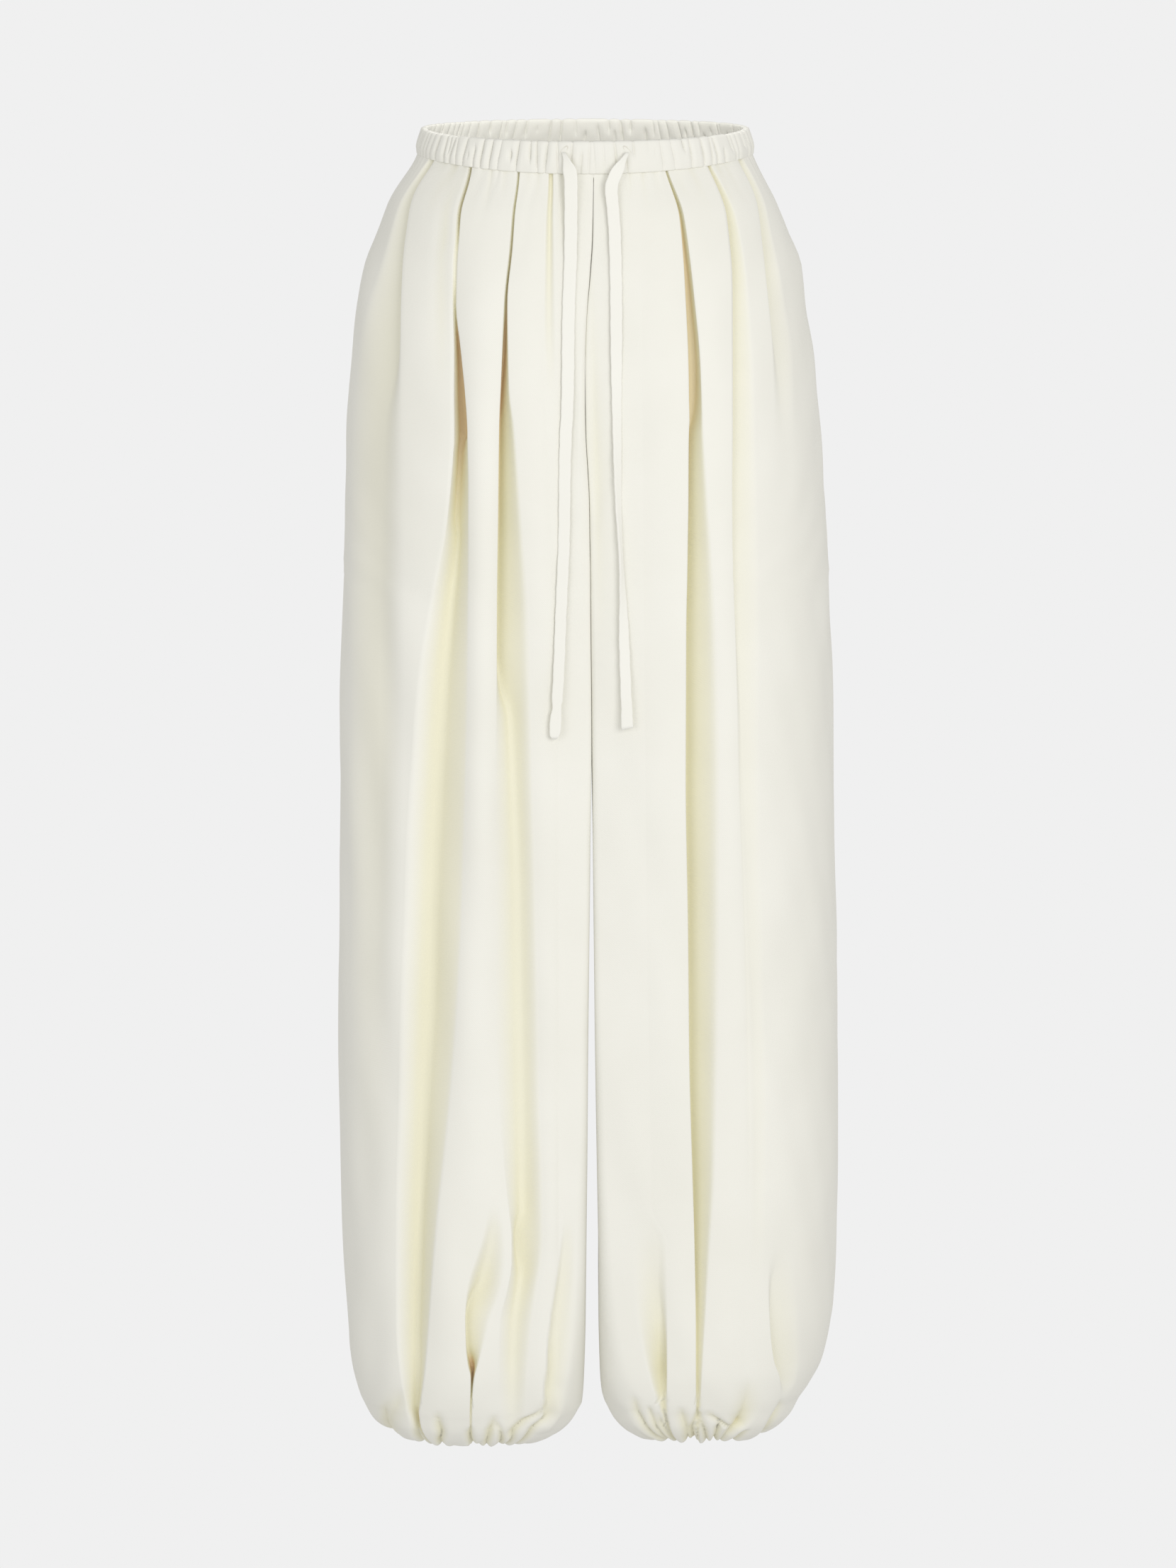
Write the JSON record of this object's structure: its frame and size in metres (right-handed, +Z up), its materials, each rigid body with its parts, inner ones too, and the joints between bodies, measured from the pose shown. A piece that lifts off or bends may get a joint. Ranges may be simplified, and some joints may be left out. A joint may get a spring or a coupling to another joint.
{
  "type": "balloon pants",
  "caption": "High-waisted balloon pants: pleated wide legs hang from a gathered drawstring waist and turn in to gathered hems.",
  "frame": {"origin": "centre of the waist, halfway up the waistband at the centre front", "axes": "+Z up, +X to the wearer's left, the front faces -Y"},
  "size_m": [0.3962, 0.2675, 1.0444],
  "materials": {
    "cloth": "ivory satin-backed crepe, soft sheen",
    "casing": "the same crepe gathered over elastic",
    "tie": "the same crepe sewn into a flat tie"
  },
  "bodies": {
    "root": {"front_left": "cloth", "front_right": "cloth", "back_left": "cloth", "back_right": "cloth", "pocket_facing_left": "cloth", "pocket_facing_right": "cloth", "waistband_front": "casing", "waistband_back": "casing", "hem_casing_left": "casing", "hem_casing_right": "casing", "drawstring_left": "tie", "drawstring_right": "tie"}
  },
  "joints": []
}
